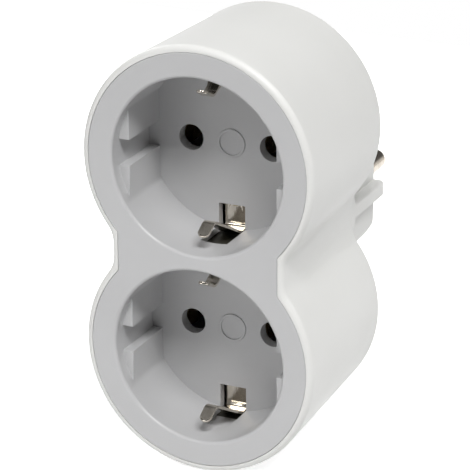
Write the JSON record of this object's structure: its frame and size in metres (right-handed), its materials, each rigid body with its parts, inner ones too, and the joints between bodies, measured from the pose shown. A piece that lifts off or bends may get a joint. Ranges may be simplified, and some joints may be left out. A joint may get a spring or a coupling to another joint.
{
  "type": "multi socket adapter",
  "caption": "Mains adapter with a round earthed plug on its back and earthed sockets, one above the other, in the front of a waisted white shell.",
  "frame": {"origin": "centre of the plug's face, midway between its two pins", "axes": "+Y out of the plug along its pins, sockets facing -Y, +Z from the lower socket to the upper"},
  "size_m": [0.0532, 0.0778, 0.096],
  "materials": {
    "shell_plastic": "satin white moulded plastic",
    "insert_plastic": "satin light grey moulded plastic",
    "contact_metal": "bright nickel plating",
    "pin_metal": "nickel-plated brass",
    "inner_brass": "plain stamped brass",
    "screw_steel": "zinc-plated steel"
  },
  "bodies": {
    "root": {"housing": "shell_plastic", "socket_insert": "insert_plastic", "socket_base": "insert_plastic", "earth_link": "inner_brass", "plug_earth_strap": "contact_metal", "earth_pin_sleeve": "contact_metal", "earth_rivet_back": "inner_brass", "earth_bracket_upper": "contact_metal", "earth_rivet_upper": "inner_brass", "contact_clip_upper_left": "inner_brass", "clip_rivet_upper_left": "inner_brass", "case_screw_upper_left": "screw_steel", "contact_clip_upper_right": "inner_brass", "clip_rivet_upper_right": "inner_brass", "case_screw_upper_right": "screw_steel", "earth_bracket_lower": "contact_metal", "earth_rivet_lower": "inner_brass", "contact_clip_lower_left": "inner_brass", "clip_rivet_lower_left": "inner_brass", "case_screw_lower_left": "screw_steel", "contact_clip_lower_right": "inner_brass", "clip_rivet_lower_right": "inner_brass", "case_screw_lower_right": "screw_steel", "plug_pin_left": "pin_metal", "busbar_left": "inner_brass", "plug_pin_right": "pin_metal", "busbar_right": "inner_brass"}
  },
  "joints": []
}
